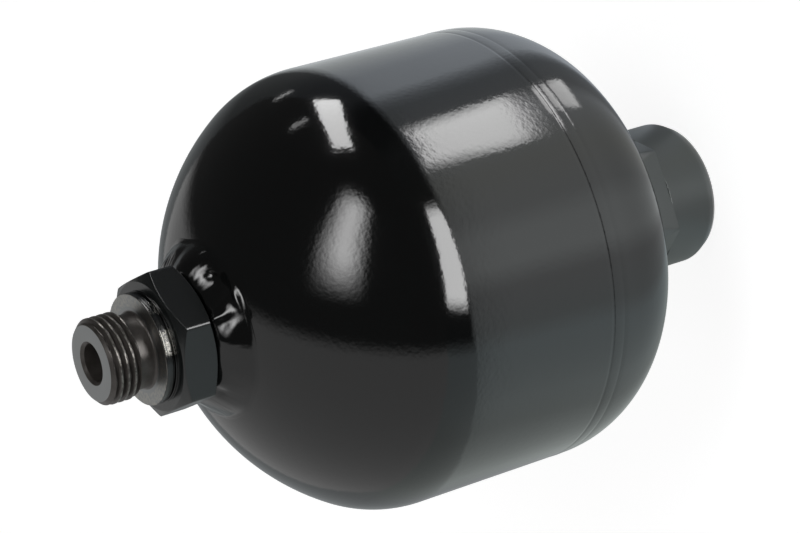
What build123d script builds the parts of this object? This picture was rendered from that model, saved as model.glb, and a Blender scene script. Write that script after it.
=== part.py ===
from build123d import *
import math
import os

# A small welded accumulator: a steel vessel of two deep-drawn shells with an
# elastomer bladder between the oil side (top) and the gas side (bottom).
# Millimetres, +Z up. The vessel's axis is Z, and the gas boss stands on z = 0.

# ---- vessel ----
shell_radius = 54.75
wall = 4.0
straight_length = 42.46
gas_head_depth = 33.25
gas_knuckle_radius = 27.45
fluid_head_depth = 43.47
fluid_knuckle_radius = 29.0
seam_above_tangent = 1.6

# ---- girth seam: a narrow machine weld in a V groove ----
seam_width = 3.4
seam_sink = 0.12
seam_crown = 0.12

# ---- fluid port stud, G 1/2 male ----
port_height = 27.27
thread_radius = 10.4775
thread_length = 7.4
thread_chamfer = 1.3
undercut_radius = 9.0
undercut_length = 4.9
undercut_corner = 0.8
collar_radius = 13.5
collar_length = 2.0
collar_edge = 0.25
collar_groove_depth = 0.7
collar_groove_length = 0.45
back_collar_length = 0.65
port_hex_flats = 32.0
port_hex_length = 9.2
port_hex_land = 0.4
port_hex_chamfer_angle = 28.0
port_neck_radius = 13.0
passage_radius = 4.6
passage_chamfer = 0.7
seat_radius = 8.8
seat_angle = 45.0

# ---- gas boss: a hexagon between a round head and the dome ----
boss_height = 25.95
boss_head_radius = 18.25
boss_head_length = 14.7
boss_end_chamfer_length = 3.0
boss_end_chamfer_depth = 1.6
boss_hex_flats = 36.0
boss_hex_length = 7.6
boss_hex_taper = 9.0
boss_hex_turn = -33.0
boss_neck_radius = 15.6
boss_spigot_proud = 1.0
gas_passage_radius = 2.5

# ---- charging screw, M28 x 1.5, with its O-ring ----
screw_radius = 14.0
thread_clearance = 0.05
screw_recess = 1.2
screw_length = 12.0
screw_chamfer = 1.0
socket_flats = 8.0
socket_depth = 7.0
oring_section = 2.65
oring_radius = 7.2
oring_squeeze = 0.45
oring_groove_clearance = 0.35

# ---- fillet welds at the port and the boss ----
port_weld_root = 15.4
port_weld_toe = 21.4
boss_weld_root = 17.0
boss_weld_toe = 22.6
weld_crown = 1.1

# ---- bladder, its clamp ring and its button ----
bladder_gap = 1.9
bladder_wall = 2.0
bead_height = 3.6
bead_round = 1.0
bead_clearance = 0.1
ring_below_seam = 3.4
ring_base_height = 5.0
ring_base_chamfer = 1.0
ring_lip_width = 1.2
ring_lip_height = 4.6
button_radius = 8.0
button_head_height = 2.2
button_seat_clearance = 0.15
button_stem_radius = 3.2
button_flange_radius = 6.5
button_flange_thickness = 1.5
fit_clearance = 0.05

# ---- heights and radii that follow from these ----
gas_tangent_z = boss_height + gas_head_depth
fluid_tangent_z = gas_tangent_z + straight_length
fluid_pole_z = fluid_tangent_z + fluid_head_depth
port_end_z = fluid_pole_z + port_height
seam_z = gas_tangent_z + seam_above_tangent
inner_radius = shell_radius - wall
fluid_head = (fluid_tangent_z, 1, fluid_head_depth, fluid_knuckle_radius)
gas_head = (gas_tangent_z, -1, gas_head_depth, gas_knuckle_radius)

collar_face_z = port_end_z - thread_length - undercut_length
collar_back_z = collar_face_z - collar_length
port_hex_front_z = collar_back_z - collar_groove_length - back_collar_length
port_hex_back_z = port_hex_front_z - port_hex_length
boss_hex_top_z = boss_head_length + boss_hex_length
screw_top_z = screw_recess + screw_length
screw_seat_z = screw_top_z + oring_section - oring_squeeze

bladder_inner_radius = inner_radius - bladder_gap - bladder_wall
ring_lip_radius = bladder_inner_radius - bead_clearance
ring_base_z = seam_z - ring_below_seam + ring_base_height
bead_low_z = ring_base_z + bead_clearance
bead_high_z = bead_low_z + bead_height


# ---- half sections, drawn as (radius, height) in the XZ plane ----
def turned(face):
    """A body of revolution about the vessel's axis."""
    return revolve(face, Axis.Z)


def section(*corners):
    """A half section with straight sides; a third number rounds that corner."""
    points = [(corner[0], 0, corner[1]) for corner in corners]
    rounds = [corner[2] if len(corner) > 2 else 0 for corner in corners]
    if any(rounds):
        return make_face(FilletPolyline(*points, radius=rounds, close=True))
    return make_face(Polyline(*points, close=True))


def core(radius, low_z=0.0):
    """A solid bar on the axis from a height up to the port's end."""
    return section((0, low_z), (radius, low_z), (radius, port_end_z), (0, port_end_z))


def dish_radius(depth, knuckle):
    """The dish radius that runs tangent into the knuckle of a head this deep."""
    reach = shell_radius - knuckle
    return (depth**2 - knuckle**2 + reach**2) / (2 * (depth - knuckle))


def height_on_head(radius, head, inset=0.0):
    """Height of a head's face, moved in by inset, at a radius on its dish."""
    tangent_z, up, depth, knuckle = head
    dish = dish_radius(depth, knuckle)
    fall = math.sqrt((dish - inset) ** 2 - radius**2)
    return tangent_z + up * (depth - dish + fall)


def head_arcs(head, inset):
    """The knuckle arc and the dish arc of a drawn head, moved in by inset."""
    tangent_z, up, depth, knuckle = head
    dish = dish_radius(depth, knuckle)
    reach = shell_radius - knuckle
    meet = math.atan2(dish - depth, reach)

    def on_knuckle(angle):
        size = knuckle - inset
        return (reach + size * math.cos(angle), 0, tangent_z + up * size * math.sin(angle))

    middle = (dish - inset) * math.cos((meet + math.pi / 2) / 2)
    pole = (0, 0, height_on_head(0, head, inset))
    return [
        ThreePointArc(on_knuckle(0), on_knuckle(meet / 2), on_knuckle(meet)),
        ThreePointArc(on_knuckle(meet), (middle, 0, height_on_head(middle, head, inset)), pole),
    ]


def vessel_section(inset):
    """Everything inside the vessel's skin once that is moved in by inset."""
    top = head_arcs(fluid_head, inset)
    bottom = head_arcs(gas_head, inset)
    side = Line(bottom[0] @ 0, top[0] @ 0)
    axis = Line(bottom[1] @ 1, top[1] @ 1)
    return make_face([*top, *bottom, side, axis])


def hexagon(flats, low_z, high_z, turn=0.0):
    """A hexagonal bar between two heights, turned about the axis in degrees."""
    outline = RegularPolygon(flats / 2, 6, major_radius=False, rotation=turn)
    return extrude(Plane.XY.offset(low_z) * outline, high_z - low_z)


def milled_hexagon(blank, flats, low_z, high_z, turn=0.0):
    """A turned blank whose collar between two heights is milled to a hexagon."""
    corner = flats / math.sqrt(3)
    chips = turned(section((0, low_z), (corner + 1, low_z), (corner + 1, high_z), (0, high_z)))
    return blank - (chips - hexagon(flats, low_z, high_z, turn))


# ---- shells and girth seam ----
def seam_groove():
    """The V between the two bevelled shell edges, open to the outside."""
    half = seam_width / 2
    outside = shell_radius + seam_crown
    return section(
        (inner_radius, seam_z),
        (shell_radius, seam_z + half),
        (outside, seam_z + half),
        (outside, seam_z - half),
        (shell_radius, seam_z - half),
    )


def make_seam_weld():
    """The girth weld: it fills the V, sunk at both toes and crowned between."""
    half = seam_width / 2 * (wall - seam_sink) / wall
    toe = shell_radius - seam_sink
    low_toe, high_toe = (toe, 0, seam_z - half), (toe, 0, seam_z + half)
    root = (inner_radius, 0, seam_z)
    crown = ThreePointArc(low_toe, (shell_radius + seam_crown, 0, seam_z), high_toe)
    return turned(make_face([Line(root, low_toe), crown, Line(high_toe, root)]))


def shell_wall():
    """The pressed wall of both shells, bevelled where they meet at the seam."""
    return vessel_section(0) - vessel_section(wall) - seam_groove()


def make_fluid_shell():
    """The deep-drawn oil-side shell: dome, straight wall, hole for the stud."""
    upper = shell_wall() & core(shell_radius + wall, seam_z)
    return turned(upper - core(port_neck_radius + fit_clearance))


def make_gas_shell():
    """The shallower gas-side shell with its short skirt and hole for the boss."""
    lower = shell_wall() - core(shell_radius + wall, seam_z)
    return turned(lower - core(boss_neck_radius + fit_clearance))


# ---- fluid port ----
def port_inner_end_z():
    """Height of the stud's inner end, flush with the dish's inside at its rim."""
    return height_on_head(port_neck_radius, fluid_head, wall)


def make_fluid_port():
    """The stud: thread blank, undercut, stepped sealing collar, hexagon, seat."""
    corner = port_hex_flats / math.sqrt(3)
    land = port_hex_flats / 2 - port_hex_land
    rise = (corner - land) * math.tan(math.radians(port_hex_chamfer_angle))
    runout = (thread_radius - undercut_radius) / 2
    groove_radius = collar_radius - collar_groove_depth
    groove_z = collar_back_z - collar_groove_length
    inner_z = port_inner_end_z()
    seat_rise = (seat_radius - passage_radius) / math.tan(math.radians(seat_angle))
    blank = turned(section(
        (passage_radius, port_end_z - passage_chamfer),
        (passage_radius + passage_chamfer, port_end_z),
        (thread_radius - thread_chamfer, port_end_z),
        (thread_radius, port_end_z - thread_chamfer),
        (thread_radius, port_end_z - thread_length),
        (undercut_radius, port_end_z - thread_length - runout),
        (undercut_radius, collar_face_z, undercut_corner),
        (collar_radius, collar_face_z, collar_edge),
        (collar_radius, collar_back_z, collar_edge),
        (groove_radius, collar_back_z),
        (groove_radius, groove_z),
        (collar_radius, groove_z, collar_edge),
        (collar_radius, port_hex_front_z),
        (land, port_hex_front_z),
        (corner, port_hex_front_z - rise),
        (corner, port_hex_back_z + rise),
        (land, port_hex_back_z),
        (port_neck_radius, port_hex_back_z),
        (port_neck_radius, inner_z),
        (seat_radius, inner_z),
        (passage_radius, inner_z + seat_rise),
    ))
    return milled_hexagon(blank, port_hex_flats, port_hex_back_z, port_hex_front_z)


# ---- gas boss and what is screwed into it ----
def make_gas_boss():
    """The boss: round head, tapered hexagon, spigot and stepped charging hole."""
    corner = boss_hex_flats / math.sqrt(3)
    taper = boss_hex_length * math.tan(math.radians(boss_hex_taper))
    inner_z = boss_height + wall + boss_spigot_proud
    hole_radius = screw_radius + thread_clearance
    blank = turned(section(
        (hole_radius + screw_chamfer, 0),
        (boss_head_radius - boss_end_chamfer_depth, 0),
        (boss_head_radius, boss_end_chamfer_length, boss_end_chamfer_length),
        (boss_head_radius, boss_head_length),
        (corner, boss_head_length),
        (corner - taper, boss_hex_top_z),
        (boss_neck_radius, boss_hex_top_z),
        (boss_neck_radius, inner_z),
        (gas_passage_radius, inner_z),
        (gas_passage_radius, screw_seat_z),
        (hole_radius, screw_seat_z),
        (hole_radius, screw_chamfer),
    ))
    return milled_hexagon(blank, boss_hex_flats, boss_head_length, boss_hex_top_z, boss_hex_turn)


def make_charging_screw():
    """A short plug with a hexagon socket, its nose inside the O-ring."""
    nose_radius = oring_radius - oring_section / 2 - oring_groove_clearance
    nose_z = screw_seat_z - fit_clearance
    plug = turned(section(
        (0, screw_recess),
        (screw_radius - screw_chamfer, screw_recess),
        (screw_radius, screw_recess + screw_chamfer),
        (screw_radius, screw_top_z - screw_chamfer),
        (screw_radius - screw_chamfer, screw_top_z),
        (nose_radius, screw_top_z),
        (nose_radius, nose_z),
        (0, nose_z),
    ))
    return plug - hexagon(socket_flats, screw_recess, screw_recess + socket_depth)


def make_charging_oring():
    """The O-ring, squeezed between the screw and the floor of its hole."""
    half = oring_section / 2
    bulge = (oring_section - oring_squeeze) / 2 - fit_clearance
    inside, outside = oring_radius - half, oring_radius + half
    return turned(section(
        (inside, screw_top_z, bulge),
        (outside, screw_top_z, bulge),
        (outside, screw_seat_z, bulge),
        (inside, screw_seat_z, bulge),
    ))


# ---- fillet welds ----
def fillet_weld(root, toe, neck_radius):
    """A ring of weld with a bulged face from root to toe, laid on dome and neck."""
    run, climb = toe[0] - root[0], toe[1] - root[1]
    span = math.hypot(run, climb)
    lift = weld_crown / span
    side = math.copysign(1, climb)
    bulge_r = (root[0] + toe[0]) / 2 + lift * abs(climb)
    bulge_z = (root[1] + toe[1]) / 2 - lift * side * run
    face = ThreePointArc((root[0], 0, root[1]), (bulge_r, 0, bulge_z), (toe[0], 0, toe[1]))
    back = Polyline((toe[0], 0, toe[1]), (0, 0, toe[1]), (0, 0, root[1]), (root[0], 0, root[1]))
    return turned(make_face([face, back]) - vessel_section(0) - core(neck_radius))


def make_port_weld():
    """The fillet weld between the stud's hexagon and the fluid dome."""
    toe = (port_weld_toe, height_on_head(port_weld_toe, fluid_head))
    return fillet_weld((port_weld_root, port_hex_back_z), toe, port_neck_radius)


def make_boss_weld():
    """The fillet weld between the boss's hexagon and the gas dome."""
    toe = (boss_weld_toe, height_on_head(boss_weld_toe, gas_head))
    return fillet_weld((boss_weld_root, boss_hex_top_z), toe, boss_neck_radius)


# ---- bladder and what holds it ----
def make_clamp_ring():
    """The ring that nips the bladder's bead to the shell and backs the seam."""
    inside = ring_lip_radius - ring_lip_width
    outside = inner_radius - bead_clearance
    low_z = seam_z - ring_below_seam
    lip_z = ring_base_z + ring_lip_height
    return turned(section(
        (inside, low_z),
        (outside - ring_base_chamfer, low_z),
        (outside, low_z + ring_base_chamfer),
        (outside, ring_base_z),
        (ring_lip_radius, ring_base_z),
        (ring_lip_radius, lip_z),
        (inside, lip_z),
    ))


def make_bladder():
    """The moulded cup at full stretch, with a beaded rim and a button hole."""
    outer_inset = wall + bladder_gap
    skin = vessel_section(outer_inset) - vessel_section(outer_inset + bladder_wall)
    cup = skin & core(shell_radius, bead_high_z - bead_round)
    bead = section(
        (bladder_inner_radius, bead_low_z, bead_round),
        (inner_radius - bead_clearance, bead_low_z, bead_round),
        (inner_radius - bead_clearance, bead_high_z, bead_round),
        (bladder_inner_radius, bead_high_z),
    )
    return turned(cup + bead - core(button_stem_radius + fit_clearance, fluid_tangent_z))


def make_bladder_button():
    """The button in the cup's end: a cone that shuts the port, stem and flange."""
    inner_z = port_inner_end_z()
    slope = math.tan(math.radians(seat_angle))
    gap = button_seat_clearance / math.cos(math.radians(seat_angle))
    shoulder_z = inner_z + (seat_radius - gap - button_radius) / slope
    top_z = inner_z + button_head_height
    top_radius = button_radius - (top_z - shoulder_z) * slope
    cup_outside = vessel_section(wall + bladder_gap)
    cup_inside = vessel_section(wall + bladder_gap + bladder_wall)
    low_z = height_on_head(0, fluid_head, wall + bladder_gap + bladder_wall) - button_flange_thickness
    head = section(
        (0, low_z), (button_radius, low_z), (button_radius, shoulder_z), (top_radius, top_z), (0, top_z)
    )
    flange = cup_inside & section(
        (0, low_z), (button_flange_radius, low_z), (button_flange_radius, top_z), (0, top_z)
    )
    stem = section((0, low_z), (button_stem_radius, low_z), (button_stem_radius, inner_z), (0, inner_z))
    return turned((head - cup_outside) + stem + flange)


pieces = {
    "fluid_shell": make_fluid_shell,
    "gas_shell": make_gas_shell,
    "seam_weld": make_seam_weld,
    "fluid_port": make_fluid_port,
    "port_weld": make_port_weld,
    "gas_boss": make_gas_boss,
    "boss_weld": make_boss_weld,
    "charging_screw": make_charging_screw,
    "charging_oring": make_charging_oring,
    "bladder": make_bladder,
    "clamp_ring": make_clamp_ring,
    "bladder_button": make_bladder_button,
}

os.makedirs("parts", exist_ok=True)
for name, make in pieces.items():
    export_step(make(), f"parts/{name}.step")
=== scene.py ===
"""A welded hydraulic accumulator in gloss black enamel, fluid port towards the camera.

Metres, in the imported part's own frame: the axis is Z, the gas boss stands on z = 0
and the fluid port is on top. The pieces are drawn in millimetres, which skin() turns
to metres. One section for each piece, then floor, tent, lamps and camera.
"""

import bpy
import numpy as np
from mathutils import Matrix, Vector


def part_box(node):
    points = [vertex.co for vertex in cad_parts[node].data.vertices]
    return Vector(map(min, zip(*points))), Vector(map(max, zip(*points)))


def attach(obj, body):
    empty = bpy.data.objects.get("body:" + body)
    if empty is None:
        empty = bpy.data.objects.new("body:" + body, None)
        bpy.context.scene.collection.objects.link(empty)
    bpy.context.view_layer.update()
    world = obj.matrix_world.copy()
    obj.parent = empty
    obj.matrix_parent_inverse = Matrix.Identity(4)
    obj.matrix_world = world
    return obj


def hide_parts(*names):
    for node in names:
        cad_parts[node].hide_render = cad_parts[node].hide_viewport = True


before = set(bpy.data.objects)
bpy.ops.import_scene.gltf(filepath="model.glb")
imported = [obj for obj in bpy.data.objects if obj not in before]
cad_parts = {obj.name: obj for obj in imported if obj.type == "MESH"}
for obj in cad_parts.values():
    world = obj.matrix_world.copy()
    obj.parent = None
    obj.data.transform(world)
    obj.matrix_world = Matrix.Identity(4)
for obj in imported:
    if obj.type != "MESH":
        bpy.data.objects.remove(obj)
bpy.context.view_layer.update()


# ---- Vessel shells ----
# Two deep-drawn steel cups, butt-welded round the middle and sprayed with gloss
# black enamel. Each is turned from one half section: dished head, side and wall.

MM = 0.001
TURN = 2 * np.pi


def box_mm(cad_node):
    """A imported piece's lowest and highest corner in millimetres."""
    return [np.array(corner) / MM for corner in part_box(cad_node)]


fluid_shell_low, fluid_shell_high = box_mm("fluid_shell")
seam_low, seam_high = box_mm("seam_weld")
shell_radius = fluid_shell_high[1]
wall = 4.0
seam_z = fluid_shell_low[2]
seam_half = (seam_high[2] - seam_low[2]) / 2
seam_trough = 0.075
seam_crown = 0.045
gas_tangent_z = seam_z - 1.6
straight_length = 42.46
fluid_hole_radius = 13.05
gas_hole_radius = 15.65
shell_columns = 384
fluid_head = dict(tangent_z=gas_tangent_z + straight_length, up=1, depth=43.47, knuckle=29.0)
gas_head = dict(tangent_z=gas_tangent_z, up=-1, depth=33.25, knuckle=27.45)


def arc(middle, radius, start, end, steps):
    """Points (radius, height) on a circle between two angles in radians."""
    angle = np.linspace(start, end, steps)
    return np.column_stack([middle[0] + radius * np.cos(angle), middle[1] + radius * np.sin(angle)])


def dish_radius(head):
    """Radius of the dish that runs smoothly into the knuckle and reaches the head's depth."""
    depth, knuckle = head["depth"], head["knuckle"]
    return (depth**2 - knuckle**2 + (shell_radius - knuckle) ** 2) / (2 * (depth - knuckle))


def head_face(head, inset, end_radius, steps=40):
    """A drawn head from its tangent line to a radius: knuckle arc, then dish arc.

    inset moves both arcs in along their radii, which gives the inside of the wall.
    """
    tangent_z, knuckle, dish = head["tangent_z"], head["knuckle"], dish_radius(head)
    reach = shell_radius - knuckle
    meet = np.arctan2(dish - head["depth"], reach)
    last = np.arccos(end_radius / (dish - inset))
    knuckle_arc = arc((reach, tangent_z), knuckle - inset, 0, meet, steps)
    dish_arc = arc((0, tangent_z + head["depth"] - dish), dish - inset, meet, last, steps)
    face = np.vstack([knuckle_arc, dish_arc[1:]])
    face[:, 1] = tangent_z + head["up"] * (face[:, 1] - tangent_z)
    return face


def near_seam(height):
    """How far the face stands off the straight wall near the seam.

    Two shallow bell-shaped troughs at the bead's toes, filled soft by the enamel,
    and a low bell-shaped crown between them.
    """
    off = np.abs(height - seam_z)
    trough = seam_trough * np.exp(-(((off - seam_half) / 0.42) ** 2))
    return seam_crown * np.exp(-((off / 1.1) ** 2)) - trough


def refined(profile, step, fine_step=None, fine=None):
    """The same outline with no stretch longer than step, or fine_step where fine is true."""
    rows = [profile[:1]]
    for start, end in zip(profile[:-1], profile[1:]):
        longest = fine_step if fine is not None and fine(*(start + end) / 2) else step
        pieces = max(1, int(np.ceil(np.linalg.norm(end - start) / longest)))
        rows.append(start + (end - start) * np.linspace(0, 1, pieces + 1)[1:, None])
    return np.concatenate(rows)


def shell_section(head, hole_radius):
    """The wall of one cup: seam edge, side and head outside, and back inside.

    The side's first 1.5 mm has close points, for the trough at the bead's toe.
    """
    heights = seam_z + head["up"] * np.linspace(seam_half, seam_half + 1.5, 16)
    on_side = (heights - head["tangent_z"]) * head["up"] < -0.05
    side = np.column_stack([np.full(on_side.sum(), shell_radius), heights[on_side]])
    outside = np.vstack([side, head_face(head, 0, hole_radius)])
    outside[:, 0] += near_seam(outside[:, 1])
    inside = head_face(head, wall, hole_radius)[::-1]
    return refined(np.vstack([[[shell_radius - wall, seam_z]], outside, inside]), 3.0)


def spun(profile, columns):
    """Rows of a profile turned about Z: radius and height, each (rows, columns)."""
    shape = (len(profile), columns)
    return np.broadcast_to(profile[:, :1], shape).copy(), np.broadcast_to(profile[:, 1:], shape).copy()


def angles(columns):
    """The azimuth of every column, from +X anticlockwise."""
    return np.arange(columns) * TURN / columns


def skin(name, radius, height, *materials, ring=False, crease=35, row_finish=None):
    """A closed mesh from two (rows, columns) grids of radius and height round Z.

    Point = (radius cos azimuth, radius sin azimuth, height). Rows that end on the
    axis close in a fan; ring joins the last row to the first. Faces wind outwards.
    row_finish gives the material number of each row of faces.
    """
    rows, columns = radius.shape
    azimuth = angles(columns)
    points = np.stack([radius * np.cos(azimuth), radius * np.sin(azimuth), height], -1).reshape(-1, 3)
    first = np.arange(rows if ring else rows - 1)[:, None] * columns
    second = (first + columns) % (rows * columns)
    here = np.arange(columns)[None, :]
    beside = (here + 1) % columns
    quads = np.stack([first + here, first + beside, second + beside, second + here], -1).reshape(-1, 4)
    faces = quads.tolist()
    if not ring:
        for row, side in ((0, -1), (rows - 1, 1)):
            pole = len(points)
            points = np.vstack([points, [0, 0, height[row].mean()]])
            edge = row * columns + np.arange(columns)
            pair = [edge, np.roll(edge, -1)][::side]
            faces += np.column_stack([*pair, np.full(columns, pole)]).tolist()
    corners = points[quads]
    facing = np.cross(corners[:, 1] - corners[:, 0], corners[:, 2] - corners[:, 0])
    if np.einsum("ij,ij->", facing, corners[:, 0]) < 0:
        faces = [face[::-1] for face in faces]
    mesh = bpy.data.meshes.new(name)
    mesh.from_pydata(points * MM, [], faces)
    mesh.shade_smooth()
    mesh.set_sharp_from_angle(angle=np.radians(crease))
    for material in materials:
        mesh.materials.append(material)
    if row_finish is not None:
        finish = np.zeros(len(faces), np.int32)
        finish[: len(quads)] = np.repeat(row_finish[: len(first)], columns)
        mesh.polygons.foreach_set("material_index", finish)
    piece = bpy.data.objects.new(name, mesh)
    bpy.context.scene.collection.objects.link(piece)
    return piece


def linear(code):
    """A #rrggbb colour as scene-linear RGBA."""
    channels = [int(code[i : i + 2], 16) / 255 for i in (1, 3, 5)]
    return [c / 12.92 if c <= 0.04045 else ((c + 0.055) / 1.055) ** 2.4 for c in channels] + [1.0]


def new_material(name, constants):
    """A material and its Principled shader, with constants set on the shader's own sockets."""
    material = bpy.data.materials.new(name)
    material.use_nodes = True
    shader = material.node_tree.nodes["Principled BSDF"]
    for socket, value in constants.items():
        shader.inputs[socket].default_value = value
    return material, shader


def join(material, target, links):
    """Feeds a node's sockets, by name or number, each from a (node, output)."""
    for socket, (source, output) in links.items():
        material.node_tree.links.new(source.outputs[output], target.inputs[socket])


def node(material, kind, settings=None, links=None):
    """Adds a node; settings fill its properties and sockets, links feed its sockets."""
    made = material.node_tree.nodes.new(kind)
    for key, value in (settings or {}).items():
        if isinstance(key, int) or key in made.inputs:
            made.inputs[key].default_value = value
        else:
            setattr(made, key, value)
    join(material, made, links or {})
    return made


def black_enamel(name, roughness, colour="#0b0c0c"):
    """Black enamel sprayed over steel: a mirror gloss that is not quite even.

    Waves 14 mm long bend what it mirrors, orange peel of 1.15 mm ruffles the
    edges, and a dust nib every 17 mm or so catches the light.
    """
    material, shader = new_material(name, {
        "Base Color": linear(colour), "Roughness": roughness, "IOR": 1.6})
    place = node(material, "ShaderNodeTexCoord")
    here = {"Vector": (place, "Object")}
    wave = node(material, "ShaderNodeTexNoise", {"Scale": 1 / (14 * MM), "Detail": 1.0}, here)
    nibs = node(material, "ShaderNodeTexVoronoi", {"Scale": 1 / (17 * MM)}, here)
    peel = node(material, "ShaderNodeTexNoise", {
        "Scale": 1 / (1.15 * MM), "Detail": 1.0, "Roughness": 0.5}, here)
    nib = node(material, "ShaderNodeMapRange", {
        "interpolation_type": "SMOOTHSTEP", "From Min": 0.024, "From Max": 0.0},
        {"Value": (nibs, "Distance")})
    wave_bump = node(material, "ShaderNodeBump", {"Distance": 0.06 * MM}, {"Height": (wave, "Fac")})
    nib_bump = node(material, "ShaderNodeBump", {"Distance": 0.07 * MM},
                    {"Height": (nib, "Result"), "Normal": (wave_bump, "Normal")})
    peel_bump = node(material, "ShaderNodeBump", {"Distance": 0.019 * MM},
                     {"Height": (peel, "Fac"), "Normal": (nib_bump, "Normal")})
    join(material, shader, {"Normal": (peel_bump, "Normal")})
    return material


enamel = black_enamel("gloss black enamel", 0.09)

fluid_shell = skin(
    "fluid_shell_skin", *spun(shell_section(fluid_head, fluid_hole_radius), shell_columns),
    enamel, ring=True)
gas_shell = skin(
    "gas_shell_skin", *spun(shell_section(gas_head, gas_hole_radius), shell_columns),
    enamel, ring=True)
for piece, cad_node in ((fluid_shell, "fluid_shell"), (gas_shell, "gas_shell")):
    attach(piece, "root")
    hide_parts(cad_node)


# ---- Girth seam ----
# A machine-laid bead in the V between the cups, low and even, under the same
# enamel; fine ripples cross it and its toes sit just below the shell's face.

seam_ripple_pitch = 1.3
seam_columns = 1320


def waves(azimuth, pitches, radius, seed):
    """A slow wander round the axis: the mean of sines of the given pitches, random in phase."""
    phases = np.random.default_rng(seed).uniform(0, TURN, len(pitches))
    total = np.zeros_like(azimuth)
    for pitch, phase in zip(pitches, phases):
        total += np.sin(np.round(TURN * radius / pitch) * azimuth + phase)
    return total / len(pitches)


def seam_bead():
    """The bead's face carries on the cups' faces; faint ripples cross its middle."""
    across = np.linspace(-1, 1, 21)[:, None]
    azimuth = angles(seam_columns)[None, :]
    ripple = np.cos(np.round(TURN * shell_radius / seam_ripple_pitch) * azimuth + 1.6 * across**2)
    height = seam_z + across * seam_half + 0 * azimuth
    middle = np.clip(1 - across**2, 0, None) ** 2
    wander = 0.01 * waves(azimuth, (9, 23, 41), shell_radius, 3)
    radius = shell_radius + near_seam(height) + middle * (0.002 * ripple + wander)
    root = np.full((1, seam_columns), shell_radius - wall + 0.3)
    level = np.full((1, seam_columns), seam_z)
    return np.vstack([radius, root]), np.vstack([height, level])


seam = skin("seam_bead", *seam_bead(), enamel, ring=True)
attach(seam, "root")
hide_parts("seam_weld")


# ---- Fluid port stud ----
# Turned and milled from hexagon bar: G 1/2 thread, undercut, stepped sealing
# collar, hexagon, and the bore with its seat. The thread, the sealing face and
# the bore are bare oily steel; the rest was sprayed with the vessel.

port_low, port_high = box_mm("fluid_port")
port_end_z = port_high[2]
port_inner_z = port_low[2]
port_hex_flats = port_high[1] - port_low[1]
port_hex_corner = port_hex_flats / np.sqrt(3)
port_hex_land = port_hex_flats / 2 - 0.4
port_hex_chamfer = (port_hex_corner - port_hex_land) * np.tan(np.radians(28))
port_neck_radius = 13.0
thread_radius = 10.4775
thread_depth = 1.162
thread_pitch = 25.4 / 14
thread_length = 7.4
thread_chamfer = 1.3
undercut_radius = 9.0
collar_radius = 13.5
collar_groove = 0.7
passage_radius = 4.6
passage_chamfer = 0.7
seat_radius = 8.8
seat_top_z = port_inner_z + seat_radius - passage_radius
undercut_z = port_end_z - thread_length
collar_face_z = undercut_z - 4.9
collar_back_z = collar_face_z - 2.0
groove_back_z = collar_back_z - 0.45
hex_front_z = groove_back_z - 0.65
hex_back_z = hex_front_z - 9.2
port_columns = 420


def rounded(*corners, steps=5):
    """A half section through corners (r, z); a third number rounds that corner.

    The fillet runs from one tangent point to the other as a quadratic curve, which
    keeps within a hundredth of the circle for the small radii used here.
    """
    points = []
    count = len(corners)
    for index, corner in enumerate(corners):
        here = np.array(corner[:2], float)
        if len(corner) == 2:
            points.append(here)
            continue
        before = np.array(corners[index - 1][:2], float) - here
        after = np.array(corners[(index + 1) % count][:2], float) - here
        before /= np.linalg.norm(before)
        after /= np.linalg.norm(after)
        half = np.arccos(np.clip(before @ after, -1, 1)) / 2
        reach = corner[2] / np.tan(half)
        t = np.linspace(0, 1, steps)[:, None]
        start, end = here + before * reach, here + after * reach
        points.extend((1 - t) ** 2 * start + 2 * t * (1 - t) * here + t**2 * end)
    return np.array(points)


def hexagon_radius(azimuth, flats, turn=0.0):
    """Polar radius of a hexagon with a corner at turn and softly broken corners.

    It is one over the high-power mean of the six flats' reciprocal radii.
    """
    power = 110
    total = np.zeros_like(azimuth)
    for side in range(6):
        facing = np.cos(azimuth - turn - TURN * (side + 0.5) / 6)
        total += np.clip(facing / (flats / 2), 0, None) ** power
    return total ** (-1 / power)


def soft_min(a, b, blend):
    """The lower of two radii with the crossing rounded over about blend."""
    return -blend * np.logaddexp(-a / blend, -b / blend)


def thread_face(azimuth, height, end_z):
    """Radius of a right-hand thread of 55 degree form, crests and roots flattened."""
    turns = (end_z - height) / thread_pitch + azimuth / TURN
    saw = 2 * np.abs(turns - np.floor(turns) - 0.5)
    form = np.clip(1.6 * saw - 0.22, 0, 1)
    form = form**2 * (3 - 2 * form) * 0.45 + form * 0.55
    return thread_radius - thread_depth * (1 - form)


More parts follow.
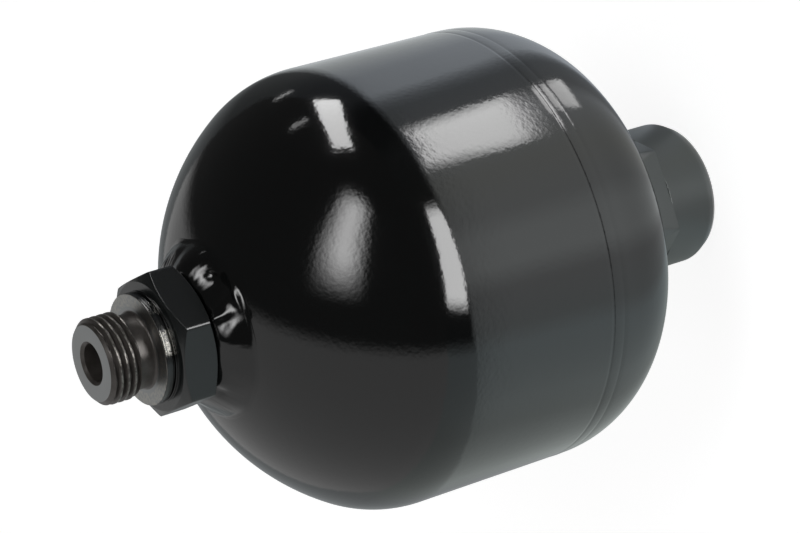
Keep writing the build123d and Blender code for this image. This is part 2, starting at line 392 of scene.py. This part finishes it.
def port_stud():
    """The turned outline, the thread cut into it, the hexagon milled on it, and its finishes.

    The outline runs up the bore, over the end face and down the outside to the seat.
    Rows are close only where the thread or the hexagon cuts them. Finish 0 is bare steel, 1 enamel, and 2 the
    scuffed enamel on the collar's rim, with its painted highlight.
    """
    outline = refined(rounded(
        (passage_radius, seat_top_z),
        (passage_radius, port_end_z - passage_chamfer),
        (passage_radius + passage_chamfer, port_end_z, 0.08),
        (thread_radius - thread_chamfer, port_end_z, 0.12),
        (thread_radius, port_end_z - thread_chamfer),
        (thread_radius, undercut_z),
        (undercut_radius, undercut_z - 0.75, 0.3),
        (undercut_radius, collar_face_z, 0.8),
        (collar_radius, collar_face_z, 0.25),
        (collar_radius, collar_back_z, 0.2),
        (collar_radius - collar_groove, collar_back_z, 0.1),
        (collar_radius - collar_groove, groove_back_z, 0.1),
        (collar_radius, groove_back_z, 0.2),
        (collar_radius, hex_front_z, 0.12),
        (port_hex_land, hex_front_z, 0.1),
        (port_hex_corner, hex_front_z - port_hex_chamfer, 0.1),
        (port_hex_corner, hex_back_z + port_hex_chamfer, 0.1),
        (port_hex_land, hex_back_z, 0.1),
        (port_neck_radius, hex_back_z),
        (port_neck_radius, port_inner_z),
        (seat_radius, port_inner_z),
    ), 2.0, 0.16, lambda radius, height: radius > port_hex_land or (
        radius > undercut_radius and height > undercut_z - 0.8))
    bare = (outline[:, 1] > collar_face_z - 0.02) | (outline[:, 0] < passage_radius + 0.8)
    on_rim = (outline[:, 0] > undercut_radius + 2) & (outline[:, 1] > hex_front_z + 0.02)
    row_finish = np.where(bare, 0, np.where(on_rim, 2, 1))
    radius, height = spun(outline, port_columns)
    azimuth = angles(port_columns)[None, :]
    threaded = (height < port_end_z - 0.02) & (height > collar_face_z + 2) & (radius > passage_radius + 1)
    radius = np.where(threaded, soft_min(radius, thread_face(azimuth, height, port_end_z), 0.04), radius)
    milled = (height <= hex_front_z) & (height >= hex_back_z)
    radius = np.where(milled, soft_min(radius, hexagon_radius(azimuth, port_hex_flats), 0.08), radius)
    return radius, height, row_finish


def turned_steel():
    """Turned steel under a thin dark film of oil, brighter where it was faced or rubbed.

    It looks brown-black and cloudy, with broken light lines along the thread's crests, partly rubbed metal
    and partly a painted highlight, and cooler grey on faces square to the axis. The lathe's lines are finer
    in truth: 0.16 mm is the finest that shows.
    """
    material, shader = new_material("blackened turned steel", {"Roughness": 0.33})
    place = node(material, "ShaderNodeTexCoord")
    here = {"Vector": (place, "Object")}
    split = node(material, "ShaderNodeSeparateXYZ", {}, here)
    facing = node(material, "ShaderNodeSeparateXYZ", {}, {"Vector": (place, "Normal")})
    faced = node(material, "ShaderNodeMapRange", {"From Min": 0.93, "From Max": 0.98},
                 {"Value": (facing, "Z")})
    flat = node(material, "ShaderNodeCombineXYZ", {}, {"X": (split, "X"), "Y": (split, "Y")})
    reach = node(material, "ShaderNodeVectorMath", {"operation": "LENGTH"}, {0: (flat, "Vector")})
    # Crest lines: partly rubbed bare metal, partly a painted highlight along the thread's crests.
    crest = node(material, "ShaderNodeMapRange", {
        "From Min": (thread_radius - 0.09) * MM, "From Max": thread_radius * MM, "To Max": 0.75},
        {"Value": (reach, "Value")})
    rub = node(material, "ShaderNodeTexNoise", {"Scale": 1 / (0.8 * MM), "Detail": 3.0}, here)
    rubbed = node(material, "ShaderNodeMapRange", {"From Min": 0.4, "From Max": 0.62},
                  {"Value": (rub, "Fac")})
    crest_wear_and_highlight = node(material, "ShaderNodeMath", {"operation": "MULTIPLY"},
                {0: (crest, "Result"), 1: (rubbed, "Result")})
    cloud = node(material, "ShaderNodeTexNoise", {"Scale": 1 / (2.5 * MM), "Detail": 4.0}, here)
    film = node(material, "ShaderNodeValToRGB", {}, {"Fac": (cloud, "Fac")})
    for stop, position, colour in zip(film.color_ramp.elements, (0.3, 0.7), ("#46423f", "#575350")):
        stop.position = position
        stop.color = linear(colour)
    ground = node(material, "ShaderNodeMix", {"data_type": "RGBA", "B": linear("#8c8e8e")},
                  {"Factor": (faced, "Result"), "A": (film, "Color")})
    colour = node(material, "ShaderNodeMix", {"data_type": "RGBA", "B": linear("#a5a29b")},
                  {"Factor": (crest_wear_and_highlight, "Value"), "A": (ground, "Result")})
    bright = node(material, "ShaderNodeMath", {"operation": "MAXIMUM"},
                  {0: (crest_wear_and_highlight, "Value"), 1: (faced, "Result")})
    metal = node(material, "ShaderNodeMapRange", {"To Min": 0.4}, {"Value": (bright, "Value")})
    lathe = node(material, "ShaderNodeTexNoise", {
        "noise_dimensions": "1D", "Scale": 1 / (0.16 * MM), "Detail": 2.0}, {"W": (split, "Z")})
    bump = node(material, "ShaderNodeBump", {"Strength": 0.6, "Distance": 0.01 * MM},
                {"Height": (lathe, "Fac")})
    join(material, shader, {
        "Base Color": (colour, "Result"), "Metallic": (metal, "Result"), "Normal": (bump, "Normal")})
    return material


def azimuth_window(material, place, centre, half_width):
    """One near an azimuth in degrees, falling to nothing at half_width from it."""
    turned = node(material, "ShaderNodeMapping", {"Rotation": (0, 0, -np.radians(centre))},
                  {"Vector": (place, "Object")})
    split = node(material, "ShaderNodeSeparateXYZ", {}, {"Vector": (turned, "Vector")})
    angle = node(material, "ShaderNodeMath", {"operation": "ARCTAN2"}, {0: (split, "Y"), 1: (split, "X")})
    size = node(material, "ShaderNodeMath", {"operation": "ABSOLUTE"}, {0: (angle, "Value")})
    edge = np.radians(half_width)
    return node(material, "ShaderNodeMapRange", {
        "interpolation_type": "SMOOTHSTEP", "From Min": edge, "From Max": edge * 0.55},
        {"Value": (size, "Value")})


def scuffed_highlit_rim():
    """Enamel on the collar's rim, scraped off in two places by a wrench or a fixture.

    It looks black with bright broken streaks that run round the rim, hard in one place and lighter in the
    other; the streaks are partly bare metal and partly a painted highlight where the rim catches the light.
    """
    material, shader = new_material("scuffed enamel rim with painted highlight", {"IOR": 1.6})
    place = node(material, "ShaderNodeTexCoord")
    split = node(material, "ShaderNodeSeparateXYZ", {}, {"Vector": (place, "Object")})
    chips = node(material, "ShaderNodeTexNoise", {
        "Scale": 1 / (0.7 * MM), "Detail": 4.0, "Roughness": 0.7}, {"Vector": (place, "Object")})
    lines = node(material, "ShaderNodeTexNoise", {
        "noise_dimensions": "1D", "Scale": 1 / (0.42 * MM), "Detail": 3.0, "Roughness": 0.7},
        {"W": (split, "Z")})
    grain = node(material, "ShaderNodeMath", {"operation": "ADD"}, {0: (lines, "Fac"), 1: (chips, "Fac")})
    # Painted highlight: these two windows are partly scraped enamel and partly the rim's highlight, painted
    # in as bright metal.
    hard = azimuth_window(material, place, -66, 20)
    light = azimuth_window(material, place, -25, 15)
    lighter = node(material, "ShaderNodeMath", {"operation": "MULTIPLY", 1: 0.8}, {0: (light, "Result")})
    scraped_and_highlit = node(material, "ShaderNodeMath", {"operation": "MAXIMUM"},
                   {0: (hard, "Result"), 1: (lighter, "Value")})
    amount = node(material, "ShaderNodeMath", {"operation": "ADD"},
                  {0: (scraped_and_highlit, "Value"), 1: (grain, "Value")})
    bare = node(material, "ShaderNodeMapRange", {"From Min": 1.9, "From Max": 2.1},
                {"Value": (amount, "Value")})
    tone = node(material, "ShaderNodeMix", {
        "data_type": "RGBA", "A": linear("#0b0c0c"), "B": linear("#a3a19a")}, {"Factor": (bare, "Result")})
    dull = node(material, "ShaderNodeMapRange", {"To Min": 0.12, "To Max": 0.42}, {"Value": (bare, "Result")})
    bump = node(material, "ShaderNodeBump", {"Strength": 0.9, "Distance": 0.05 * MM},
                {"Height": (grain, "Value")})
    join(material, shader, {
        "Base Color": (tone, "Result"), "Metallic": (bare, "Result"), "Roughness": (dull, "Result"),
        "Normal": (bump, "Normal")})
    return material


stud_radius, stud_height, stud_finish = port_stud()
stud = skin(
    "port_stud", stud_radius, stud_height,
    turned_steel(), black_enamel("thin black enamel", 0.24, "#151818"), scuffed_highlit_rim(),
    ring=True, row_finish=stud_finish)
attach(stud, "root")
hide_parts("fluid_port")


# ---- Port weld and boss weld ----
# Hand-laid fillet beads in the corners between the domes and the two hexagons,
# lumpy and rippled, sprayed over with the shells.

port_weld_toe = box_mm("port_weld")[1][0] - 0.2
boss_weld_low, boss_weld_high = box_mm("boss_weld")
boss_weld_toe = boss_weld_high[0] - 0.2
boss_hex_top_z = boss_weld_low[2]
weld_columns = 720
weld_rows = 60


def dome_height(radius, head):
    """Height of a shell's outside at a radius on its dish."""
    dish = dish_radius(head)
    return head["tangent_z"] + head["up"] * (head["depth"] - dish + np.sqrt(dish**2 - radius**2))


def fillet_bead(root, toe_radius, head, buried_radius, fullness, lumps, seed):
    """A bead heaped in the corner between a hexagon's face and the dome.

    Its height over the dome falls from the root to nothing at the toe along a
    superellipse, and runs into the dome in a soft hollow. Each lump is a bell
    (azimuth, width in degrees, radius, spread, height); slow waves and faint
    crescent ripples lie over all of it.
    """
    up = head["up"]
    azimuth = angles(weld_columns)[None, :]
    middle = (root[0] + toe_radius) / 2
    toe = toe_radius + 0.35 * waves(azimuth, (9, 15, 27), middle, seed)
    share = np.linspace(0, 1.17, weld_rows)[:, None]
    radius = root[0] + share * (toe - root[0])
    dome = dome_height(radius, head)
    top = up * (root[1] - dome_height(toe, head))
    fall = np.clip(1 - np.clip(share, 0, 1) ** fullness, 0, 1) ** (1 / fullness)
    heap = up * (dome_height(toe, head) - dome) + top * fall
    heap -= 1.2 * np.clip(share - 1, 0, None) * (toe - root[0])
    degrees = np.degrees(azimuth)
    for where, width, lump_radius, spread, height in lumps:
        apart = (degrees - where + 180) % 360 - 180
        heap += height * np.exp(-((apart / width) ** 2) - ((radius - lump_radius) / spread) ** 2)
    inside = np.clip(share * (1.05 - share) * 4, 0, 1)
    heap += inside * 0.12 * waves(azimuth, (5, 8, 13, 21), middle, seed + 2)
    trail = np.round(TURN * middle / 1.6) * azimuth + 2.2 * (2 * share - 1) ** 2
    patchy = 0.5 + 0.5 * waves(azimuth, (19, 37), middle, seed + 3)
    heap += inside * 0.02 * patchy * np.cos(trail + TURN * 0.7 * waves(azimuth, (7, 12), middle, seed + 4))
    soft = 0.3
    height = dome + up * (0.01 + soft * np.logaddexp(0, heap / soft))
    height[-1] = dome[-1] - up * 0.05
    flat = np.ones((1, weld_columns))
    back_r = np.vstack([flat * toe_radius, flat * buried_radius, flat * buried_radius])
    back_z = np.vstack([
        flat * (dome_height(toe_radius, head) - up * 1.5),
        flat * (dome_height(buried_radius, head) - up * 1.5),
        height[:1],
    ])
    return np.vstack([radius, back_r]), np.vstack([height, back_z])


# Azimuth and width in degrees, radius, spread and height, as fillet_bead takes them.
port_lumps = [
    (-33, 15, 18.0, 3.0, -2.6),
    (-24, 4.5, 18.0, 0.8, -0.6),
    (-45, 13, 21.2, 0.9, 1.2),
    (-3, 13, 18.4, 2.8, 1.9),
    (-78, 10, 17.8, 2.2, 1.1),
    (-58, 3.5, 17.6, 1.8, 0.8),
    (-68, 5, 19.4, 1.6, 0.3),
    (-50, 6, 18.5, 1.6, 0.6),
    (22, 8, 20.0, 1.2, 0.5),
    (44, 9, 18.6, 1.8, 0.7),
    (64, 8, 20.2, 1.0, 0.4),
    (-126, 6, 16.6, 0.9, -0.7),
]
hexagon_corner_lumps = [(corner, 10, 16.4, 0.9, 0.6) for corner in range(0, 360, 60)]
boss_lumps = [(80, 9, 18.5, 1.4, 0.4), (200, 12, 19.0, 1.4, 0.35)]
port_weld = skin(
    "port_weld_bead",
    *fillet_bead((15.0, hex_back_z - 0.15), port_weld_toe, fluid_head, buried_radius=13.3,
                 fullness=1.12, lumps=port_lumps + hexagon_corner_lumps, seed=11),
    enamel, ring=True, crease=60)
boss_weld = skin(
    "boss_weld_bead",
    *fillet_bead((16.6, boss_hex_top_z + 0.15), boss_weld_toe, gas_head, buried_radius=15.9,
                 fullness=1.5, lumps=boss_lumps, seed=29),
    enamel, ring=True, crease=60)
for piece, cad_node in ((port_weld, "port_weld"), (boss_weld, "boss_weld")):
    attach(piece, "root")
    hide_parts(cad_node)


# ---- Gas boss ----
# A turned and milled steel boss welded to the gas dome and sprayed with it: round
# head, hexagon with tapered corners, and the threaded hole for the screw.

boss_inner_z = box_mm("gas_boss")[1][2]
boss_head_radius = 18.25
boss_head_length = 14.7
boss_end_chamfer = 1.6
boss_hex_flats = 36.0
boss_hex_corner = boss_hex_flats / np.sqrt(3)
boss_hex_taper = (boss_hex_top_z - boss_head_length) * np.tan(np.radians(9))
boss_hex_turn = np.radians(-33.0)
boss_neck_radius = 15.6
screw_hole_radius = 14.05
screw_hole_depth = 15.4
gas_passage_radius = 2.5
boss_columns = 420


def boss_body():
    """The turned outline, milled to a hexagon between the round head and the weld."""
    outline = refined(rounded(
        (screw_hole_radius + 1.0, 0.0, 0.1),
        (boss_head_radius - boss_end_chamfer, 0.0, 0.5),
        (boss_head_radius, 3.0, 3.0),
        (boss_head_radius, boss_head_length, 0.2),
        (boss_head_radius - 0.3, boss_head_length),
        (boss_hex_corner, boss_head_length, 0.15),
        (boss_hex_corner - boss_hex_taper, boss_hex_top_z, 0.15),
        (boss_neck_radius, boss_hex_top_z),
        (boss_neck_radius, boss_inner_z),
        (gas_passage_radius, boss_inner_z),
        (gas_passage_radius, screw_hole_depth),
        (screw_hole_radius, screw_hole_depth),
        (screw_hole_radius, 1.0),
        steps=9,
    ), 4.0, 0.4, lambda radius, height: radius > 17 and height > boss_head_length - 0.5)
    radius, height = spun(outline, boss_columns)
    azimuth = angles(boss_columns)[None, :]
    milled = (height >= boss_head_length) & (height <= boss_hex_top_z) & (radius > boss_head_radius - 0.4)
    flats = hexagon_radius(azimuth, boss_hex_flats, boss_hex_turn)
    return np.where(milled, soft_min(radius, flats, 0.05), radius), height


def painted_sheen_enamel():
    """A thin, half matt coat of enamel over turned steel, dark grey to the eye.

    Its light grey base colour is a painted sheen, standing in for the bright floor that black enamel would
    mirror. It mirrors nothing sharp: broad soft light with cloudy gloss and a fine dry grain.
    """
    # Painted sheen: the grey base colour stands in for the floor's reflection in black enamel.
    material, shader = new_material("black enamel with painted grey sheen", {"Base Color": linear("#666d6c"), "IOR": 1.9})
    place = node(material, "ShaderNodeTexCoord")
    here = {"Vector": (place, "Object")}
    grain = node(material, "ShaderNodeTexNoise", {"Scale": 1 / (0.5 * MM), "Detail": 2.0}, here)
    cloud = node(material, "ShaderNodeTexNoise", {"Scale": 1 / (9 * MM), "Detail": 3.0}, here)
    dull = node(material, "ShaderNodeMapRange", {"To Min": 0.3, "To Max": 0.42}, {"Value": (cloud, "Fac")})
    bump = node(material, "ShaderNodeBump", {"Strength": 0.7, "Distance": 0.008 * MM},
                {"Height": (grain, "Fac")})
    join(material, shader, {"Roughness": (dull, "Result"), "Normal": (bump, "Normal")})
    return material


boss = skin("gas_boss_body", *boss_body(), painted_sheen_enamel(), ring=True)
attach(boss, "root")
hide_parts("gas_boss")


# ---- Charging screw ----
# A short plug of turned steel, phosphated, screwed into the boss, with a hexagon
# socket for its key; it is seen from below only.

screw_low, screw_high = box_mm("charging_screw")
screw_radius = screw_high[0]
screw_chamfer = 1.0
screw_shoulder_z = 13.2
screw_pilot_radius = 5.5
socket_flats = 8.0
socket_depth = 7.0
screw_columns = 240


def screw_plug():
    """Rows from the socket's floor up its hexagonal wall, over the face and round."""
    low, high = screw_low[2], screw_high[2]
    wall_radius = hexagon_radius(angles(screw_columns)[None, :], socket_flats)
    floor_z = low + socket_depth
    socket_rows = ((0.5, floor_z), (0.97, floor_z), (1.0, floor_z - 0.2), (1.0, low + 0.3), (1.06, low))
    socket_radius = np.vstack([share * wall_radius for share, _ in socket_rows])
    socket_height = np.vstack([np.full_like(wall_radius, z) for _, z in socket_rows])
    radius, height = spun(refined(rounded(
        (6.0, low),
        (screw_radius - screw_chamfer, low, 0.2),
        (screw_radius, low + screw_chamfer, 0.2),
        (screw_radius, screw_shoulder_z - screw_chamfer, 0.2),
        (screw_radius - screw_chamfer, screw_shoulder_z, 0.2),
        (screw_pilot_radius, screw_shoulder_z),
        (screw_pilot_radius, high),
        (0.5, high),
    ), 0.8), screw_columns)
    return np.vstack([socket_radius, radius]), np.vstack([socket_height, height])


def phosphated_steel():
    """Phosphated steel: pale grey, cloudy and slightly matt, with no sharp mirror in it."""
    material, shader = new_material("phosphated steel", {"Metallic": 1.0, "Roughness": 0.38})
    place = node(material, "ShaderNodeTexCoord")
    cloud = node(material, "ShaderNodeTexNoise", {"Scale": 1 / (3 * MM), "Detail": 3.0},
                 {"Vector": (place, "Object")})
    tone = node(material, "ShaderNodeValToRGB", {}, {"Fac": (cloud, "Fac")})
    for stop, colour in zip(tone.color_ramp.elements, ("#8d9094", "#b9bcbf")):
        stop.color = linear(colour)
    join(material, shader, {"Base Color": (tone, "Color")})
    return material


screw = skin("charging_screw_plug", *screw_plug(), phosphated_steel())
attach(screw, "root")
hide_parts("charging_screw")


# ---- Pieces inside ----
# The rubber bladder, its clamp ring, its button and the O-ring, moulded or turned,
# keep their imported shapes; only the button shows, down the port's bore.


def plain_finish(name, colour, roughness, metallic=0.0):
    """A moulded or machined finish with a faint grain in its gloss."""
    material, shader = new_material(name, {"Base Color": linear(colour), "Metallic": metallic})
    place = node(material, "ShaderNodeTexCoord")
    grain = node(material, "ShaderNodeTexNoise", {"Scale": 1 / (0.8 * MM), "Detail": 2.0},
                 {"Vector": (place, "Object")})
    spread = node(material, "ShaderNodeMapRange", {
        "To Min": roughness - 0.08, "To Max": roughness + 0.08}, {"Value": (grain, "Fac")})
    join(material, shader, {"Roughness": (spread, "Result")})
    return material


inner_finishes = {
    "bladder": plain_finish("nitrile rubber", "#1c1c1c", 0.6),
    "charging_oring": plain_finish("nitrile O-ring rubber", "#161616", 0.45),
    "clamp_ring": plain_finish("turned steel ring", "#8a8780", 0.35, 1.0),
    "bladder_button": plain_finish("natural acetal", "#e1dfda", 0.4),
}
for cad_node, material in inner_finishes.items():
    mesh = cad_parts[cad_node].data
    mesh.materials.clear()
    mesh.materials.append(material)


# ---- Floor ----
# A wide sheet of matt white paper under the boss, bright enough to pass for white,
# which keeps the part's shadow.

floor_half = 6.0
floor_z = -0.0002
floor_glow = 0.85


def white_paper():
    """Matt white; camera, mirror and glass rays see a little glow on top of its light."""
    material, shader = new_material("matt white paper", {
        "Base Color": linear("#b4b4b4"), "Roughness": 0.9, "Specular IOR Level": 0.0,
        "Emission Color": linear("#ffffff")})
    path = node(material, "ShaderNodeLightPath")
    seen = node(material, "ShaderNodeMath", {"operation": "MAXIMUM"},
                {0: (path, "Is Camera Ray"), 1: (path, "Is Glossy Ray")})
    seen_or_through = node(material, "ShaderNodeMath", {"operation": "MAXIMUM"},
                           {0: (seen, "Value"), 1: (path, "Is Transmission Ray")})
    glow = node(material, "ShaderNodeMath", {"operation": "MULTIPLY", 1: floor_glow},
                {0: (seen_or_through, "Value")})
    join(material, shader, {"Emission Strength": (glow, "Value")})
    return material


def flat_piece(name, corners, material):
    """A flat sheet through its corners, which belongs to the stage."""
    mesh = bpy.data.meshes.new(name)
    mesh.from_pydata(corners, [], [range(len(corners))])
    mesh.materials.append(material)
    sheet = bpy.data.objects.new(name, mesh)
    bpy.context.scene.collection.objects.link(sheet)
    return sheet


floor_corners = [(x * floor_half, y * floor_half, floor_z) for x, y in ((-1, -1), (1, -1), (1, 1), (-1, 1))]
flat_piece("floor", floor_corners, white_paper())


# ---- Tent and floor tones ----
# A round cloth tent over the set, white on one side and dark on the other, and a round sheet of soft tones
# over the floor. The camera looks past both at white; the tones show only in the gloss, and the tent also in
# diffuse light.

tent_radius = 2.5
tent_dark = 0.055
tent_white = 0.56
tent_white_side = np.radians(171.5)
tones_radius = 2.48
tones_z = 0.001
tones_gain = 1.6
near_ring = (0.19, 0.275)
painted_shadow_reach = (0.02, 0.125)

# Azimuth in degrees, level, tint, and how much of the level goes on past the near ring.
floor_tones = (
    (-180, 0.76, "#f2fbf8", 0.75),
    (-152, 0.80, "#f0faf8", 0.7),
    (-138, 1.0, "#effbfb", 0.6),
    (-110, 1.08, "#eefcff", 0.55),
    (-101, 0.87, "#f6feff", 0),
    (-84, 0.92, "#fbfeff", 0),
    (-74, 1.42, "#faffff", 0),
    (-62, 1.4, "#faffff", 0),
    (-52, 1.1, "#fbffff", 0),
    (-34, 1.08, "#fcfffb", 0),
    (-12, 1.15, "#f6fbff", 0),
    (-3, 0.62, "#f6fbff", 0),
    (12, 0.5, "#f0f8ff", 0),
    (17, 0.7, "#eef6ff", 0.05),
    (24, 1.4, "#eef6ff", 0.08),
    (42, 0.95, "#eef6ff", 0.12),
    (62, 0.85, "#f2f8fa", 0.16),
    (80, 0.8, "#f2f8fa", 0.12),
    (102, 0.5, "#f2f8fa", 0.5),
    (130, 0.32, "#f2f8fa", 1),
    (155, 0.42, "#f2f8fa", 1),
    (170, 0.7, "#f2fbf8", 0.8),
)


def glow_only(name, colour="#ffffff", strength=1.0):
    """A material that gives off light, and mirrors and scatters none."""
    return new_material(name, {
        "Base Color": linear("#000000"), "Specular IOR Level": 0.0,
        "Emission Color": linear(colour), "Emission Strength": strength})


def tent_cloth():
    """Cloth that glows evenly, from dark to white across an upright plane."""
    material, shader = glow_only("tent cloth")
    place = node(material, "ShaderNodeTexCoord")
    across = np.array([np.cos(tent_white_side), np.sin(tent_white_side), 0]) / tent_radius
    reach = node(material, "ShaderNodeVectorMath", {"operation": "DOT_PRODUCT", 1: across},
                 {0: (place, "Object")})
    glow = node(material, "ShaderNodeMapRange", {
        "interpolation_type": "SMOOTHSTEP", "From Min": 0.06, "From Max": 0.21,
        "To Min": tent_dark, "To Max": tent_white}, {"Value": (reach, "Value")})
    join(material, shader, {"Emission Strength": (glow, "Result")})
    return material


def tent_dome():
    """A half sphere: rows of constant height, closed at the top."""
    columns = 96
    azimuth = angles(columns)
    rise = np.radians(np.linspace(0, 88, 23))[:, None]
    points = tent_radius * np.stack(
        [np.cos(rise) * np.cos(azimuth), np.cos(rise) * np.sin(azimuth), np.sin(rise) + 0 * azimuth], -1)
    first = np.arange(len(rise) - 1)[:, None] * columns
    here = np.arange(columns)[None, :]
    beside = (here + 1) % columns
    quads = np.stack([first + here, first + beside, first + columns + beside, first + columns + here], -1)
    top = list(range((len(rise) - 1) * columns, len(rise) * columns))
    mesh = bpy.data.meshes.new("tent")
    mesh.from_pydata(points.reshape(-1, 3), [], quads.reshape(-1, 4).tolist() + [top])
    mesh.materials.append(tent_cloth())
    dome = bpy.data.objects.new("tent", mesh)
    bpy.context.scene.collection.objects.link(dome)
    return dome


def floor_tone():
    """Glow over the floor: by azimuth, times a fade under the part, times a near ring.

    The ring falls from full to dark at near_ring, except as far as the tone goes on. The fade under the part
    is a painted shadow of the part on the floor.
    """
    material, shader = glow_only("floor tones")
    place = node(material, "ShaderNodeTexCoord")
    here = {"Vector": (place, "Object")}
    split = node(material, "ShaderNodeSeparateXYZ", {}, here)
    reach = node(material, "ShaderNodeVectorMath", {"operation": "LENGTH"}, {0: (place, "Object")})
    azimuth = node(material, "ShaderNodeMath", {"operation": "ARCTAN2"}, {0: (split, "Y"), 1: (split, "X")})
    share = node(material, "ShaderNodeMapRange", {"From Min": -np.pi, "From Max": np.pi},
                 {"Value": (azimuth, "Value")})
    tones = node(material, "ShaderNodeValToRGB", {}, {"Fac": (share, "Result")})
    stops = tones.color_ramp.elements
    for degrees, level, tint, goes_on in floor_tones:
        where = (degrees + 180) / 360
        stop = stops[0] if where == 0 else stops.new(where)
        stop.color = [channel * level / tones_gain for channel in linear(tint)[:3]] + [goes_on]
    stops[-1].color = stops[0].color
    # Painted shadow: the glow falls to 0.42 under the part, standing in for its shadow on the floor.
    under = node(material, "ShaderNodeMapRange", {
        "interpolation_type": "SMOOTHSTEP", "From Min": painted_shadow_reach[0], "From Max": painted_shadow_reach[1],
        "To Min": 0.42}, {"Value": (reach, "Value")})
    ring = node(material, "ShaderNodeMapRange", {
        "interpolation_type": "SMOOTHSTEP", "From Min": near_ring[0], "From Max": near_ring[1],
        "To Min": 1.0, "To Max": tent_dark}, {"Value": (reach, "Value")})
    kept = node(material, "ShaderNodeMath", {"operation": "MAXIMUM"},
                {0: (tones, "Alpha"), 1: (ring, "Result")})
    level = node(material, "ShaderNodeMath", {"operation": "MULTIPLY"},
                 {0: (kept, "Value"), 1: (under, "Result")})
    glow = node(material, "ShaderNodeMath", {"operation": "MULTIPLY", 1: tones_gain},
                {0: (level, "Value")})
    join(material, shader, {"Emission Color": (tones, "Color"), "Emission Strength": (glow, "Value")})
    return material


tent = tent_dome()
tent.visible_camera = False
tones_edge = [(tones_radius * np.cos(angle), tones_radius * np.sin(angle), tones_z) for angle in angles(96)]
tones_sheet = flat_piece("floor tones", tones_edge, floor_tone())
tones_sheet.visible_camera = False
tones_sheet.visible_diffuse = False
tones_sheet.visible_shadow = False


# ---- Lamps ----
# A key softbox overhead, which lights the part, and small cards that only the
# gloss sees. Each is a glowing card with soft edges, hidden from the camera.


def lit_card(name, centre, along, across, strength, soft, narrow=1.0, lights=False):
    """A glowing card from its centre and two half sides, in metres.

    soft is the share of each half side over which it fades out; narrow is the width
    of the end before along, as a share of the other end.
    """
    material, shader = glow_only(name, strength=strength)
    place = node(material, "ShaderNodeTexCoord")
    split = node(material, "ShaderNodeSeparateXYZ", {}, {"Vector": (place, "Object")})
    fades = []
    for axis, share in zip("XY", soft):
        size = node(material, "ShaderNodeMath", {"operation": "ABSOLUTE"}, {0: (split, axis)})
        fades.append(node(material, "ShaderNodeMapRange", {
            "interpolation_type": "SMOOTHSTEP", "From Min": 1.0, "From Max": 1.0 - share},
            {"Value": (size, "Value")}))
    both = node(material, "ShaderNodeMath", {"operation": "MULTIPLY"},
                {0: (fades[0], "Result"), 1: (fades[1], "Result")})
    join(material, shader, {"Alpha": (both, "Value")})
    along, across = Vector(along), Vector(across)
    facing = along.cross(across).normalized()
    card = flat_piece(name, [(-1, -narrow, 0), (1, -1, 0), (1, 1, 0), (-1, narrow, 0)], material)
    card.matrix_world = Matrix.Translation(centre) @ Matrix((along, across, facing)).transposed().to_4x4()
    card.visible_camera = False
    card.visible_shadow = False
    card.visible_diffuse = lights


lit_card("key softbox", (0.67, -0.385, 0.8), (0.58, 0, 0), (0, 0.26, 0),
         6.9, (0.65, 1.0), lights=True)
lit_card("side card", (0.3255, 0.0964, 0.1351), (0.0273, -0.0798, 0.08), (0.0118, -0.0222, -0.0347),
         8.7, (0.1, 0.2), narrow=0.8)
lit_card("front card", (0.0841, -0.1753, 0.0563), (-0.0783, -0.0409, 0.0066), (-0.0074, 0.0091, -0.0325),
         8.5, (0.35, 0.25), narrow=0.55)
lit_card("low card", (0.171, -0.041, 0.004), (0.036, -0.012, 0), (0, 0.05, 0),
         7.6, (0.45, 0.6), narrow=0.62)
lit_card("lowest card", (0.106, -0.020, 0.004), (0.026, -0.008, 0), (0, 0.02, 0),
         4.4, (0.3, 0.5), narrow=0.6)
lit_card("back card", (0.209, 0.257, 0.096), (-0.007, 0.0064, 0.0287), (0.006, -0.004, 0.003),
         2.4, (0.5, 0.7))
lit_card("right card", (0.282, 0.164, 0.19), (-0.015, 0.0136, 0.016), (0.0033, -0.0068, 0.0057),
         2.6, (0.5, 0.7))

world = bpy.data.worlds.new("white room")
world.use_nodes = True
world.node_tree.nodes["Background"].inputs["Color"].default_value = linear("#ffffff")
bpy.context.scene.world = world


# ---- Camera ----
# A long lens that looks down on the port end, rolled so that the part's axis runs
# from upper right to lower left.

look_at = Vector((0.0011, 0.0005, 0.0856))
camera_distance = 0.7535
camera_azimuth = np.radians(-64.46)
camera_elevation = np.radians(30.76)
camera_roll = np.radians(-106.56)

back = Vector((
    np.cos(camera_elevation) * np.cos(camera_azimuth),
    np.cos(camera_elevation) * np.sin(camera_azimuth),
    np.sin(camera_elevation),
))
level_right = Vector((-np.sin(camera_azimuth), np.cos(camera_azimuth), 0))
level_up = back.cross(level_right)
right = level_right * np.cos(camera_roll) + level_up * np.sin(camera_roll)
lens = bpy.data.cameras.new("camera")
lens.lens = 138.43
lens.sensor_width = 36.0
camera = bpy.data.objects.new("camera", lens)
bpy.context.scene.collection.objects.link(camera)
turn = Matrix((right, back.cross(right), back)).transposed()
camera.matrix_world = Matrix.Translation(look_at + back * camera_distance) @ turn.to_4x4()
bpy.context.scene.camera = camera
bpy.context.scene.view_settings.view_transform = "Standard"
